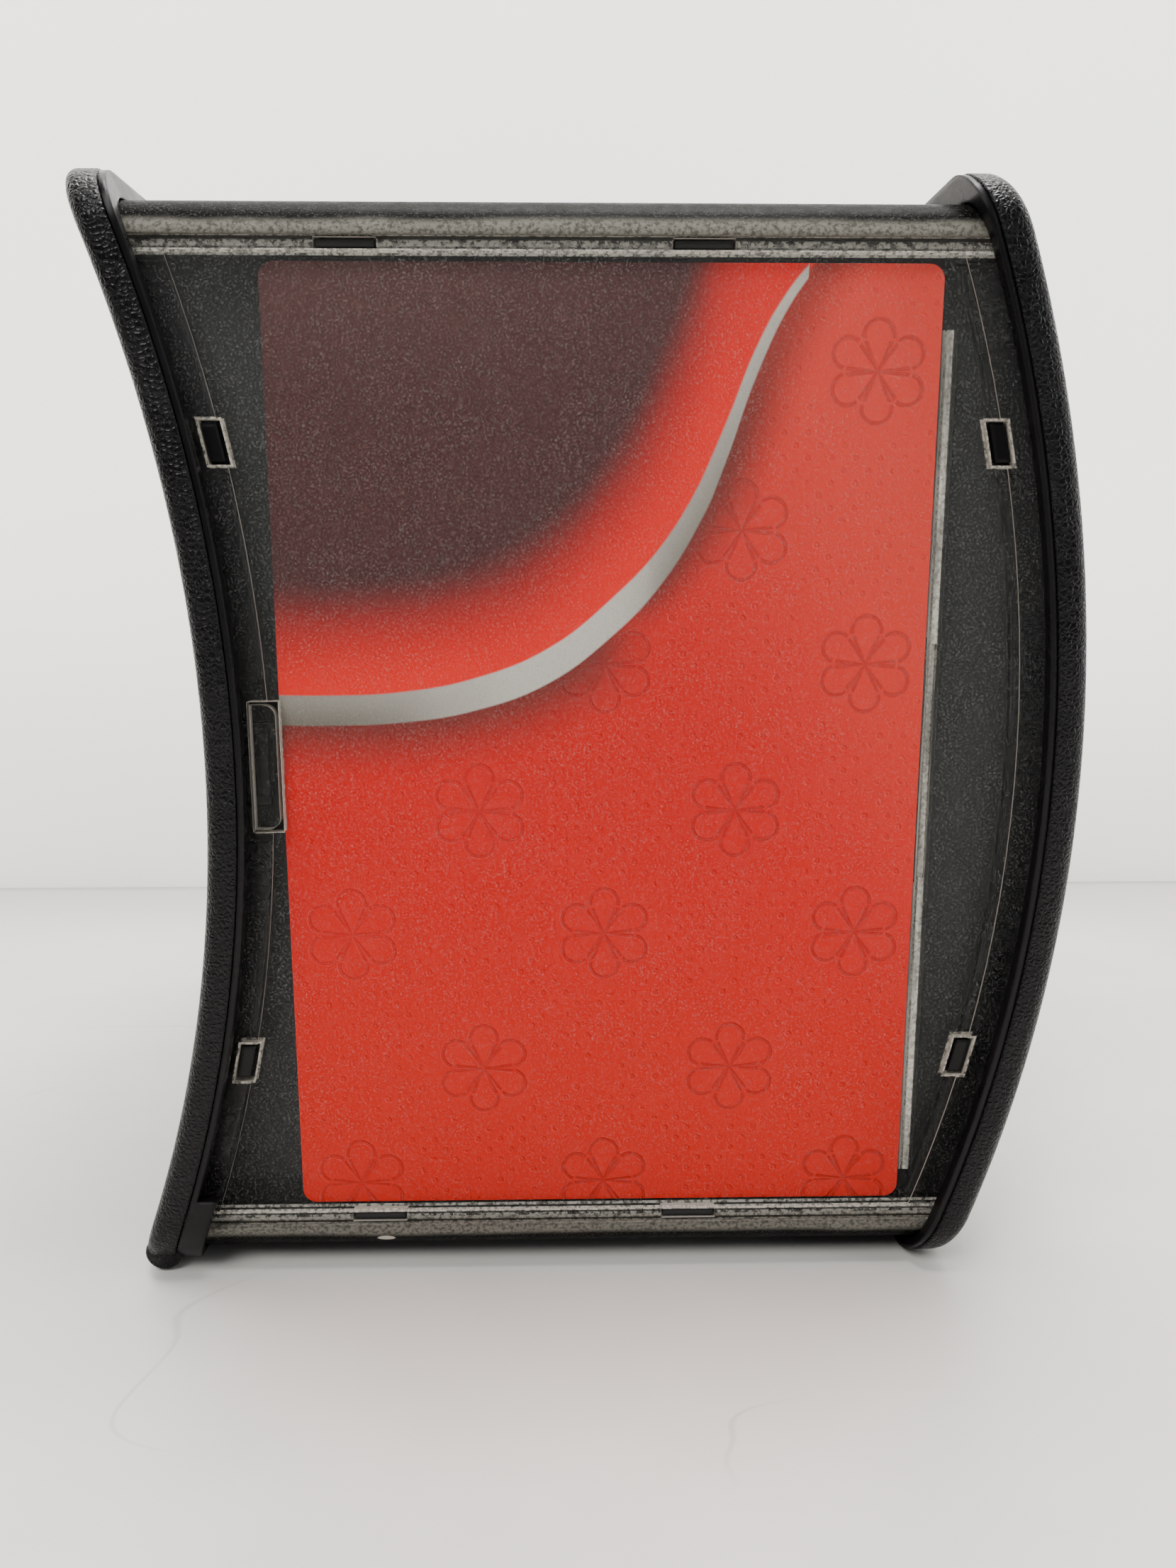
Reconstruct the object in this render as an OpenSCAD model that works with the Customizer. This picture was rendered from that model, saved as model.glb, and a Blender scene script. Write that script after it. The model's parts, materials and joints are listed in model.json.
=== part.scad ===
// Counter-top napkin dispenser with a drop-down concave dispensing face, a closed convex rear face,
// a spring-fed magazine and a card pocket behind a smoked panel on each side.
// Millimetres. Origin on the counter under the middle of the overall box. -X is the dispensing face,
// +X the closed rear, +Z up. "right" is the -Y side and "left" the +Y side, as seen by a user facing the front.

/* [Overall] */
// Height of the end frames above the counter
frame_h = 183; // [180:0.5:188]
// Width of the end frames across the dispensing face
frame_w = 155; // [153:0.5:160]
// Depth from the front face to the rear face at mid height
face_gap = 143.5; // [141:0.5:150]
// Radius of the concave front face
front_r = 245; // [240:1:260]
// Radius of the convex rear face
rear_r = 250; // [240:1:262]
// How far the end frames stand proud of the covers
overhang = 3.3; // [3.2:0.1:3.6]
// How far the body sits below the middle of the end frames
drop = 1.1; // [0.8:0.1:1.2]

/* [Covers and panels] */
// Wall thickness of the smoked top and bottom covers
cover_t = 2.2; // [2:0.1:2.4]
// Depth that the side panels are set back from the covers
panel_recess = 1.2; // [1:0.1:1.4]
// Thickness of a side panel
panel_t = 2; // [1.8:0.1:2.1]
// Depth of the shallow field inside the border of a side panel
field_d = 0.35; // [0.2:0.05:0.5]
// Height of the cover rail above and below a side panel
rail_h = 6; // [5.8:0.1:6.4]

/* [Cards] */
// Width of the display card
card_w = 106.4; // [100:0.2:106.4]
// Height of the display card
card_h = 158; // [150:0.2:158.6]
// Thickness of the display card
card_t = 0.5; // [0.3:0.1:0.5]

/* [Magazine and pusher] */
// Clear width inside the magazine
mag_w = 129; // [127:0.5:130]
// Clear height inside the magazine
mag_h = 168.4; // [166:0.2:168.6]
// Wall thickness of the magazine
mag_t = 1.6; // [1.4:0.1:1.6]
// Width of the dispensing opening
mouth_w = 54; // [44:1:60]
// Height of the dispensing opening
mouth_h = 104; // [90:1:112]

/* [Spring] */
// Wire diameter of the conical spring
wire_d = 1.8; // [1.4:0.1:2]
// Coil radius at the pusher
coil_small = 17; // [16.5:0.5:18]
// Coil radius at the rear seat
coil_big = 42; // [38:0.5:43]
// Number of turns
turns = 6; // [5:0.5:7]

/* [Hidden] */
$fn = 48;
big = 300;                                   // facets of the large arcs

frame_gap = 0.3;                             // the end frames clear the counter by this much
frame_c = 10;                                // corner radius of the end frames
zf = (frame_h + frame_gap) / 2;              // middle of the end frames
zc = zf - drop;                              // middle of the body
fh = frame_h - frame_gap;
sag = front_r - sqrt(front_r * front_r - fh * fh / 4);
depth = face_gap + sag;
xr0 = depth / 2;                             // rear face at mid height
xf0 = xr0 - face_gap;                        // front face at mid height
xcf = xf0 - front_r;                         // centres of the two arcs
xcr = xr0 - rear_r;
body_w = frame_w - 2 * overhang;
body_h = fh - 2 * overhang;
zb = zc - body_h / 2;                        // underside of the bottom cover
zt = zc + body_h / 2;
yp = body_w / 2 - panel_recess;              // outer face of a side panel
yi = yp - panel_t;                           // inner face of a side panel
z_lo = zb + rail_h;                          // visible edges of the side panels
z_hi = zt - rail_h;

hinge_r = 3.2;                               // door barrel
pin_r = 1.5;
zp = frame_gap + hinge_r;
xp = xcf + sqrt(pow(front_r + hinge_r, 2) - pow(zf - zp, 2));
ear_y = 46;
ear_w = 8;

tab_z0 = zc - 10.4;
tab_z1 = zc + 10.4;
tab_x0 = xf0 + 7;
tab_x1 = xf0 + 11.2;
skirt_y1 = yi - 0.4;
skirt_y0 = skirt_y1 - 1.8;
skirt_f = 9.3;
skirt_r = 10.5;
win_z = [zc - 51.7, zc + 51.7];
win_h = 6.8;
slot_x = [-37.6, 17.2];                      // middles of the tongues that hold the panels
feet = [[-50, 56], [-50, -56], [44, 56], [44, -56]];

// -------- helpers --------
module rrect(w, h, r) {
  square([w - 2 * r, h], center = true);
  square([w, h - 2 * r], center = true);
  for (a = [-1, 1], b = [-1, 1]) translate([a * (w / 2 - r), b * (h / 2 - r)]) circle(r = r);
}
module slot2d(w, h) {
  square([w, h - w], center = true);
  for (b = [-1, 1]) translate([0, b * (h - w) / 2]) circle(r = w / 2, $fn = 96);
}
module xprism(w, h, r, x0, x1, z = zc) translate([x0, 0, z]) rotate([90, 0, 90]) linear_extrude(x1 - x0) rrect(w, h, r);
module outline(off, x0, x1) xprism(frame_w - 2 * off, fh - 2 * off, frame_c - off, x0, x1, zf);
module ycyl(r, x, z, l, y = 0, n = 48) translate([x, y, z]) rotate([90, 0, 0]) cylinder(r = r, h = l, center = true, $fn = n);
module box(a, b) translate(a) cube(b - a);
module behind_front(o) difference() {
  box([-130, -90, -5], [130, 90, frame_h + 5]);
  ycyl(front_r + o, xcf, zf, 200, 0, big);
}
module before_rear(o) intersection() {
  box([-130, -90, -5], [130, 90, frame_h + 5]);
  ycyl(rear_r - o, xcr, zf, 200, 0, big);
}
module band_f(a, b) difference() {
  ycyl(front_r + b, xcf, zf, 200, 0, big);
  ycyl(front_r + a, xcf, zf, 210, 0, big);
}
module band_r(a, b) difference() {
  ycyl(rear_r - a, xcr, zf, 200, 0, big);
  ycyl(rear_r - b, xcr, zf, 210, 0, big);
}
module span(a, b) intersection() {           // everything from a behind the front face to b before the rear face
  difference() {
    ycyl(rear_r - b, xcr, zf, 200, 0, big);
    ycyl(front_r + a, xcf, zf, 210, 0, big);
  }
  children();
}
module hinge_room() ycyl(hinge_r + 0.35, xp, zp, 200);

// -------- fixed body --------
module magazine() color([0.06, 0.06, 0.065]) difference() {
  union() {
    span(4.1, 4.1) difference() {
      xprism(mag_w + 2 * mag_t, mag_h + 2 * mag_t, 4, -110, 110);
      xprism(mag_w, mag_h, 2.5, -120, 120);
    }
    // floor and ceiling rails that the pusher runs on
    span(8, 8) union() for (s = [-1, 1]) {
      box([-100, s * 40 - 1.5, zc - mag_h / 2 - 0.5], [100, s * 40 + 1.5, zc - mag_h / 2 + 1.2]);
      box([-100, s * 40 - 1.5, zc + mag_h / 2 - 1.2], [100, s * 40 + 1.5, zc + mag_h / 2 + 0.5]);
    }
    // stops that hold the pusher clear of the door
    for (s = [-1, 1]) intersection() {
      band_f(6.7, 8);
      box([xf0 - 5, s > 0 ? mag_w / 2 - 1.2 : -mag_w / 2 - 0.4, zc - 12], [xf0 + 20, s > 0 ? mag_w / 2 + 0.4 : -mag_w / 2 + 1.2, zc + 12]);
    }
    // tongues that pass through the slots of the side panels
    for (x = slot_x, s = [-1, 1], z = [z_lo + 0.5, z_hi - 1.6])
      box([x - 4.5, s > 0 ? mag_w / 2 + 0.5 : -yp + 0.35, z], [x + 4.5, s > 0 ? yp - 0.35 : -mag_w / 2 - 0.5, z + 1.1]);
  }
  hinge_room();
}
module cover(top) difference() {
  span(4.1, 4.1) difference() {
    xprism(body_w, body_h, frame_c - overhang, -110, 110);
    xprism(body_w - 2 * cover_t, body_h - 2 * cover_t, frame_c - overhang - cover_t, -120, 120);
  }
  box([-120, -90, top ? -5 : z_lo], [120, 90, top ? z_hi : frame_h + 5]);
  // rebate for the edge of the side panels
  box([-120, -yp - 0.1, top ? z_hi - 1 : z_lo - 1.9], [120, yp + 0.1, top ? z_hi + 1.9 : z_lo + 1]);
}
module top_cover() color([0.22, 0.22, 0.2, 0.6]) cover(true);
module bottom_cover() color([0.22, 0.22, 0.2, 0.6]) difference() {
  cover(false);
  for (f = feet) translate([f[0], f[1], zb - 1]) cylinder(r = 6.1, h = 1.8);
  hinge_room();
  box([-100, -66.5, zb - 1], [xp + 10.2, 66.5, zb + 2.3]);
}
module side_panel_r() difference() {
  span(4.1, 4.1) difference() {
    box([-100, -yp, z_lo - 1.7], [100, -yi, z_hi + 1.7]);
    // pocket behind the release tab
    box([tab_x0 - 0.35, -yp - 1, tab_z0 - 0.5], [tab_x1 + 0.5, -yi + 1, tab_z1 + 0.5]);
    // slots for the magazine's tongues
    for (x = slot_x, z = [z_lo + 0.2, z_hi - 1.9]) box([x - 4.8, -yp - 1, z], [x + 4.8, -yi + 1, z + 1.7]);
  }
  // shallow field inside the border
  span(10.2, 9.9) box([-100, -yp - 1, z_lo + 2.1], [100, -yp + field_d, z_hi - 2.1]);
  for (z = win_z) intersection() {
    box([-100, -yp - 1, z - win_h / 2], [0, -yi + 1, z + win_h / 2]);
    band_f(7.3, 10.6);
  }
  for (z = win_z) intersection() {
    box([0, -yp - 1, z - win_h / 2], [100, -yi + 1, z + win_h / 2]);
    band_r(8.9, 12.2);
  }
  hinge_room();
}
module side_panel_right() color([0.24, 0.24, 0.22, 0.45]) side_panel_r();
module side_panel_left() color([0.24, 0.24, 0.22, 0.45]) mirror([0, 1, 0]) side_panel_r();
module display_card_r() translate([1.8, -yi + 0.05, zc - 0.2]) rotate([90, 0, 0]) translate([0, 0, -card_t]) linear_extrude(card_t) rrect(card_w, card_h, 2.4);
module display_card_right() color([0.8, 0.12, 0.08]) display_card_r();
module display_card_left() color([0.8, 0.12, 0.08]) mirror([0, 1, 0]) display_card_r();
module card_rail_r() difference() {
  box([55.15, -yi + 0.05, zc - 74], [57.6, -yi + 1.6, zc + 69]);
  box([55.8, -yi - 1, zc - 20], [56.9, -yi + 0.9, zc + 20]);
  box([54, -yi + 0.7, zc - 75], [55.6, -yi + 3, zc - 21]);
  box([54, -yi + 0.7, zc + 21], [55.6, -yi + 3, zc + 70]);
}
module card_rail_right() color([0.7, 0.7, 0.62, 0.6]) card_rail_r();
module card_rail_left() color([0.7, 0.7, 0.62, 0.6]) mirror([0, 1, 0]) card_rail_r();

// web, rim and flange shared by the two end rings
module ring_shape(front) {
  intersection() {
    if (front) band_f(2.6, 3.8); else band_r(2.6, 3.8);
    xprism(body_w + 2.4, body_h + 1.6, frame_c - overhang + 0.8, front ? -120 : 0, front ? 0 : 120);
  }
  intersection() {
    if (front) band_f(2.6, 6.5); else band_r(2.6, 6.5);
    difference() {
      outline(1.4, front ? -120 : 0, front ? 0 : 120);
      xprism(body_w + 1.4, body_h + 0.4, frame_c - overhang + 0.2, -130, 130);
    }
  }
  intersection() {
    if (front) band_f(5.5, 6.5); else band_r(5.5, 6.5);
    difference() {
      outline(0.25, front ? -120 : 0, front ? 0 : 120);
      xprism(body_w + 1.4, body_h + 0.4, frame_c - overhang + 0.2, -130, 130);
    }
  }
}
module ring_foot() intersection() {
  band_f(5.5, 9.6);
  difference() {
    outline(0.25, -120, 0);
    xprism(body_w + 1.4, body_h + 0.4, frame_c - overhang + 0.2, -130, 130);
  }
  box([-120, -90, 0], [0, 90, 15]);
}
module side_skirt(s, front) intersection() {
  if (front) band_f(3.4, skirt_f); else band_r(3.4, skirt_r);
  box([front ? -120 : 0, s > 0 ? skirt_y0 : -skirt_y1, zc - 79], [front ? 0 : 120, s > 0 ? skirt_y1 : -skirt_y0, zc + 79]);
}
module hook(s, z, front) intersection() {
  if (front) band_f(7.6, 9.9); else band_r(9.2, 11.5);
  box([front ? -120 : 0, s > 0 ? skirt_y0 : -yp + 0.5, z - 2.9], [front ? 0 : 120, s > 0 ? yp - 0.5 : -skirt_y0, z + 2.9]);
}
module front_ring() color([0.05, 0.05, 0.055]) difference() {
  union() {
    difference() {
      union() {
        ring_shape(true);
        for (s = [-1, 1]) side_skirt(s, true);
      }
      xprism(mag_w, mag_h, 2.5, -120, 0);
      hinge_room();
      // relief for the lower corners of the door's rim
      for (s = [-1, 1]) intersection() {
        band_f(2, 5.45);
        box([-120, s > 0 ? 71 : -90, -1], [0, s > 0 ? 90 : -71, 12]);
      }
      // room for the door latches to swing out
      for (s = [-1, 1]) box([xf0, s > 0 ? 66.6 : -yi - 0.15, tab_z0 - 2.6], [xf0 + 14, s > 0 ? yi + 0.15 : -66.6, tab_z1 + 4]);
    }
    for (s = [-1, 1], z = win_z) hook(s, z, true);
    // cross bar and the two hinge ears
    box([xp + hinge_r + 0.8, -66, frame_gap + 0.3], [xp + 9.6, 66, zb + 2.1]);
    difference() {
      ring_foot();
      ycyl(hinge_r + 0.35, xp, zp, 200);
    }
    for (s = [-1, 1]) {
      ycyl(hinge_r, xp, zp, ear_w, s * ear_y);
      box([xp, s * ear_y - ear_w / 2, zp - 2.2], [xp + 6, s * ear_y + ear_w / 2, zb + 2.1]);
    }
  }
  for (s = [-1, 1]) ycyl(pin_r + 0.01, xp, zp, ear_w + 2, s * ear_y);
}
module rear_ring() color([0.05, 0.05, 0.055]) union() {
  difference() {
    union() {
      ring_shape(false);
      for (s = [-1, 1]) side_skirt(s, false);
    }
    xprism(mag_w, mag_h, 2.5, 0, 120);
  }
  for (s = [-1, 1], z = win_z) hook(s, z, false);
}
module rear_bezel() color([0.045, 0.045, 0.05]) difference() {
  intersection() {
    band_r(0, 5.3);
    outline(0, 0, 120);
  }
  intersection() {
    band_r(2.4, 8);
    xprism(frame_w - 2.4, fh - 2.4, frame_c - 1.2, 0, 120, zf);
  }
  xprism(128, fh - 24.7, 8, 0, 130, zf);
}
module rear_panel() color([0.22, 0.22, 0.2, 0.6]) intersection() {
  band_r(2.45, 4.05);
  xprism(mag_w - 1.4, mag_h - 2.4, 5, 0, 120);
}
module spring_seat() color([0.06, 0.06, 0.065]) difference() {
  union() {
    intersection() {
      band_r(4.15, 5.8);
      translate([0, 0, zc]) rotate([0, 90, 0]) cylinder(r = 47, h = 120, $fn = 96);
    }
    intersection() {
      before_rear(5);
      translate([xr0 - 12, 0, zc]) rotate([0, 90, 0]) difference() {
        cylinder(r = 47, h = 12, $fn = 96);
        translate([0, 0, -1]) cylinder(r = 36, h = 20, $fn = 96);
      }
    }
  }
  // groove for the end coil
  translate([xr0 - 13, 0, zc]) rotate([0, 90, 0]) difference() {
    cylinder(r = coil_big + wire_d / 2 + 0.3, h = 3.2, $fn = 96);
    translate([0, 0, -1]) cylinder(r = coil_big - wire_d / 2 - 0.6, h = 6, $fn = 96);
  }
}
spr_x0 = xf0 + 13.1;                         // centre of the wire at the pusher
spr_x1 = xr0 - 9.8 - wire_d / 2 - 0.15;      // and at the seat
// one closed turn at each end and an even pitch between; the radius grows evenly
function spr_r(t) = coil_small + (coil_big - coil_small) * min(1, max(0, (t - 1) / (turns - 2)));
function spr_x(t) = spr_x0 + (spr_x1 - spr_x0) * min(1, max(0, (t - 0.85) / (turns - 1.7)));
spr_step = 24;                               // points a turn
spr_n = floor(turns * spr_step);
spr_k = 6;                                   // sides of the wire
function spr_p(i) = let (t = i / spr_step) [spr_x(t), spr_r(t) * cos(360 * t), spr_r(t) * sin(360 * t)];
function unit(v) = v / norm(v);
function spr_ring(i) = let (a = 360 * i / spr_step, e = [0, cos(a), sin(a)],
  d = unit(spr_p(min(spr_n, i + 1)) - spr_p(max(0, i - 1))), u = unit(e - (e * d) * d), v = cross(d, u))
  [for (k = [0 : spr_k - 1]) spr_p(i) + wire_d / 2 * (cos(360 * k / spr_k) * u + sin(360 * k / spr_k) * v)];
module pusher_spring() color([0.6, 0.6, 0.62]) translate([0, 0, zc]) polyhedron(
  points = [for (i = [0 : spr_n]) each spr_ring(i)],
  faces = concat(
    [[for (k = [0 : spr_k - 1]) k]],
    [for (i = [0 : spr_n - 1], k = [0 : spr_k - 1]) let (a = i * spr_k + k, b = i * spr_k + (k + 1) % spr_k) [b, a, a + spr_k, b + spr_k]],
    [[for (k = [spr_k - 1 : -1 : 0]) spr_n * spr_k + k]]),
  convexity = 10);
module rubber_feet() color([0.1, 0.1, 0.1]) for (f = feet) translate([f[0], f[1], 0]) {
  cylinder(r = 6, h = zb + 0.7);
}
module hinge_pin(s) ycyl(pin_r, xp, zp, 22, s * ear_y);
module hinge_pin_right() color([0.7, 0.7, 0.72]) hinge_pin(-1);
module hinge_pin_left() color([0.7, 0.7, 0.72]) hinge_pin(1);

// -------- drop-down door --------
module front_bezel() color([0.045, 0.045, 0.05]) difference() {
  union() {
    difference() {
      intersection() {
        band_f(0, 5.3);
        outline(0, -120, 0);
      }
      intersection() {
        band_f(2.4, 8);
        xprism(frame_w - 2.4, fh - 2.4, frame_c - 1.2, -120, 0, zf);
      }
      xprism(128, fh - 24.7, 8, -130, 0, zf);
      box([-120, -90, -5], [0, 90, zp]);
      hinge_room_door();
    }
    intersection() {
      ycyl(hinge_r, xp, zp, 200);
      outline(0, -120, 0);
    }
  }
  for (s = [-1, 1]) ycyl(pin_r + 0.06, xp, zp, 22.6, s * ear_y);
  hinge_room_door();
}
// notches for the ears
module hinge_room_door() for (s = [-1, 1]) ycyl(hinge_r + 0.4, xp, zp, ear_w + 0.6, s * ear_y);
module faceplate() color([0.22, 0.22, 0.2, 0.6]) difference() {
  union() {
    intersection() {
      band_f(2.45, 4.05);
      xprism(mag_w - 1.4, mag_h - 2.4, 5, -120, 0);
    }
    // raised lip round the mouth
    intersection() {
      band_f(0.9, 4.05);
      translate([-120, 0, zc]) rotate([90, 0, 90]) linear_extrude(120) slot2d(mouth_w + 5, mouth_h + 5);
    }
  }
  translate([-120, 0, zc]) rotate([90, 0, 90]) linear_extrude(130) slot2d(mouth_w, mouth_h);
}
module latch_r() difference() {
  union() {
    box([xf0 + 2.65, -skirt_y1, zc - 7], [xf0 + skirt_f, -skirt_y0 - 0.2, zc + 7]);
    box([xf0 + 7.6, -skirt_y1 - 0.25, zc - 5], [xf0 + skirt_f, -skirt_y1 + 0.1, zc + 5]);
  }
}
module latch_right() color([0.06, 0.06, 0.065]) latch_r();
module latch_left() color([0.06, 0.06, 0.065]) mirror([0, 1, 0]) latch_r();

// -------- release tabs --------
module release_tab_r() translate([0, -yi, 0]) rotate([90, 0, 0]) linear_extrude(panel_t) {
  translate([tab_x0, tab_z0]) square([tab_x1 - tab_x0 - 2, tab_z1 - tab_z0]);
  translate([tab_x0 + 1, tab_z0 + 2]) square([tab_x1 - tab_x0 - 1, tab_z1 - tab_z0 - 4]);
  for (z = [tab_z0 + 2, tab_z1 - 2]) translate([tab_x1 - 2, z]) circle(r = 2);
}
module release_tab_right() color([0.24, 0.24, 0.22, 0.45]) release_tab_r();
module release_tab_left() color([0.24, 0.24, 0.22, 0.45]) mirror([0, 1, 0]) release_tab_r();

// -------- pusher --------
pw = mag_w - 3;
ph = mag_h - 3.4;
pf = 8.4;                                    // front of the pusher behind the front face
module pusher() color([0.07, 0.07, 0.075]) union() {
  intersection() {
    band_f(pf, pf + 2.2);
    xprism(pw, ph, 4, -120, 0);
  }
  // stiffening skirt round the edge
  intersection() {
    band_f(pf + 1.6, pf + 9.6);
    difference() {
      xprism(pw, ph, 4, -120, 0);
      xprism(pw - 3.6, ph - 3.6, 2.4, -130, 10);
    }
  }
  // cross ribs
  intersection() {
    band_f(pf + 1.6, pf + 6);
    union() {
      for (y = [-42, 42]) box([-120, y - 0.9, zc - ph / 2 + 1], [0, y + 0.9, zc + ph / 2 - 1]);
      for (z = [zc - 52, zc + 52]) box([-120, -pw / 2 + 1, z - 0.9], [0, pw / 2 - 1, z + 0.9]);
    }
  }
  // ears that meet the stops
  for (s = [-1, 1]) intersection() {
    band_f(pf, pf + 8);
    box([-120, s > 0 ? pw / 2 - 1 : -mag_w / 2 + 0.4, zc - 10], [0, s > 0 ? mag_w / 2 - 0.4 : -pw / 2 + 1, zc + 10]);
  }
  // runners each side of the floor and ceiling rails
  for (s = [-1, 1], d = [-1, 1], t = [-1, 1]) intersection() {
    behind_front(pf + 1.9);
    box([-120, s * 40 + d * 3 - 1, t > 0 ? zc + ph / 2 - 2.4 : zc - mag_h / 2 + 0.35],
      [xf0 + pf + 9, s * 40 + d * 3 + 1, t > 0 ? zc + mag_h / 2 - 0.35 : zc - ph / 2 + 2.4]);
  }
}
module spring_cup() color([0.07, 0.07, 0.075]) translate([xf0 + pf + 2.3, 0, zc]) rotate([0, 90, 0]) difference() {
  union() {
    cylinder(r = 23, h = 1.2, $fn = 96);
    cylinder(r = coil_small - wire_d / 2 - 0.3, h = 7);
    // hooks over the first turn of the spring
    for (a = [145, 240, 324]) rotate([0, 0, a]) {
      translate([coil_small - wire_d / 2 - 2.4, -2, 0]) cube([1.9, 4, 5.4]);
      translate([coil_small - wire_d / 2 - 2.4, -2, 4.2]) cube([3.6, 4, 1.2]);
    }
  }
  translate([0, 0, 1.2]) cylinder(r = coil_small - wire_d / 2 - 2.5, h = 20);
}

magazine();
top_cover();
bottom_cover();
side_panel_right();
side_panel_left();
display_card_right();
display_card_left();
card_rail_right();
card_rail_left();
front_ring();
rear_ring();
rear_bezel();
rear_panel();
spring_seat();
pusher_spring();
rubber_feet();
hinge_pin_right();
hinge_pin_left();
front_bezel();
faceplate();
pusher();
spring_cup();
latch_right();
latch_left();
release_tab_right();
release_tab_left();
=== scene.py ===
import json
import math

import bpy
import bmesh
import numpy as np
from mathutils import Matrix, Vector


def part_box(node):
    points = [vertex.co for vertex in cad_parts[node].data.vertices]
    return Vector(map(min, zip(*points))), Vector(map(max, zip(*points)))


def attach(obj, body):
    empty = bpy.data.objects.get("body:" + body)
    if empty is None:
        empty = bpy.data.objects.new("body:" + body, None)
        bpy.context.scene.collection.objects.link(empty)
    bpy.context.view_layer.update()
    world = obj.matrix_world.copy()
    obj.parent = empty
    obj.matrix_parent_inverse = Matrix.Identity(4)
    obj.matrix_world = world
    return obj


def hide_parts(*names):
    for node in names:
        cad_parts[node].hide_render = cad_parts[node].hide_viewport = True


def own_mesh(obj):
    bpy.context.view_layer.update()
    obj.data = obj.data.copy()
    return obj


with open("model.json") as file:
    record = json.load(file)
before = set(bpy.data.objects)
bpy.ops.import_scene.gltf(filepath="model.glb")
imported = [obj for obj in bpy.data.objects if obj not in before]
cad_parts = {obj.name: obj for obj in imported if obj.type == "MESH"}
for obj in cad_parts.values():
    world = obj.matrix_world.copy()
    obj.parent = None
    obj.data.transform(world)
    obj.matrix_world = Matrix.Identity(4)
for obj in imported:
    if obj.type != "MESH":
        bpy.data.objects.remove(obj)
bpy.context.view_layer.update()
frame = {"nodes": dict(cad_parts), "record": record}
NODES = frame["nodes"]
REC = frame["record"]

# ---------------------------------------------------------------- sizes taken from the frame
mm = 0.001
b_front, b_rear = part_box("front_bezel"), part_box("rear_bezel")


def lohi(b):
    return [float(v) for v in b[0]], [float(v) for v in b[1]]


F0, F1 = lohi(b_front)
R0, R1 = lohi(b_rear)
W = F1[1] - F0[1]
Z0, Z1 = F0[2], F1[2]
ZC, FH = (Z0 + Z1) / 2, Z1 - Z0
P0, P1 = lohi(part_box("side_panel_right"))
TAB0, TAB1 = lohi(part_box("release_tab_right"))
MID = (P0[2] + P1[2]) / 2                                # middle height of the body
joint = {j["name"]: j for j in REC["behaviour"]["joints"]}
HX, _, HZ = joint["door_hinge"]["pos_m"]


def arc_from(node, front):
    """Centre x and radius of the outer cylinder of a bezel, fitted to its outermost vertices."""
    vs = np.array([v.co[:] for v in NODES[node].data.vertices])
    vs = vs[(vs[:, 2] > Z0 + 0.012) & (vs[:, 2] < Z1 - 0.0095)]
    keep = []
    for z in np.linspace(Z0 + 0.014, Z1 - 0.012, 60):
        near = vs[np.abs(vs[:, 2] - z) < 0.0016]
        if len(near):
            keep.append(near[near[:, 0].argmin() if front else near[:, 0].argmax()][[0, 2]])
    p = np.array(keep)
    for _ in range(12):
        a = np.c_[2 * p[:, 0], np.ones(len(p))]
        y = p[:, 0] ** 2 + (p[:, 1] - ZC) ** 2
        (cx, q), *_ = np.linalg.lstsq(a, y, rcond=None)
        r = math.sqrt(q + cx * cx)
        err = np.hypot(p[:, 0] - cx, p[:, 1] - ZC) - r
        bad = err if front else -err
        if bad.max() < 0.00006 or len(p) < 8:
            break
        p = p[bad < max(0.00006, bad.max() * 0.5)]
    print("arc", node, round(cx, 5), round(r, 5), len(p))
    return float(cx), float(r)


# ---------------------------------------------------------------- node helpers
class E:
    """One shader value that can be added, multiplied and so on."""

    def __init__(self, nt, sock):
        self.nt, self.s = nt, sock

    def _put(self, socket, v):
        if isinstance(v, E):
            self.nt.links.new(v.s, socket)
        else:
            socket.default_value = v

    def op(self, name, *others, clamp=False):
        n = self.nt.nodes.new("ShaderNodeMath")
        n.operation, n.use_clamp = name, clamp
        self.nt.links.new(self.s, n.inputs[0])
        for i, o in enumerate(others):
            self._put(n.inputs[i + 1], o)
        return E(self.nt, n.outputs[0])

    def __add__(self, o): return self.op("ADD", o)
    def __sub__(self, o): return self.op("SUBTRACT", o)
    def __mul__(self, o): return self.op("MULTIPLY", o)
    def __truediv__(self, o): return self.op("DIVIDE", o)
    __radd__, __rmul__ = __add__, __mul__

    def __rsub__(self, o):
        return self * -1.0 + o

    def abs(self): return self.op("ABSOLUTE")
    def mn(self, o): return self.op("MINIMUM", o)
    def mx(self, o): return self.op("MAXIMUM", o)

    def ramp(self, a, b, c=0.0, d=1.0, smooth=True):
        n = self.nt.nodes.new("ShaderNodeMapRange")
        n.interpolation_type = "SMOOTHSTEP" if smooth else "LINEAR"
        n.clamp = True
        self.nt.links.new(self.s, n.inputs["Value"])
        for k, v in (("From Min", a), ("From Max", b), ("To Min", c), ("To Max", d)):
            n.inputs[k].default_value = v
        return E(self.nt, n.outputs["Result"])

    def curve(self, pts):
        n = self.nt.nodes.new("ShaderNodeFloatCurve")
        c = n.mapping.curves[0]
        for i, (x, y) in enumerate(pts):
            if i < 2:
                c.points[i if i == 0 else -1].location = (x, y)
            else:
                c.points.new(x, y)
        # place them again in order, because new points are inserted by x
        for p, (x, y) in zip(c.points, sorted(pts)):
            p.location = (x, y)
            p.handle_type = "AUTO"
        n.mapping.update()
        self.nt.links.new(self.s, n.inputs["Value"])
        return E(self.nt, n.outputs[0])


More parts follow.
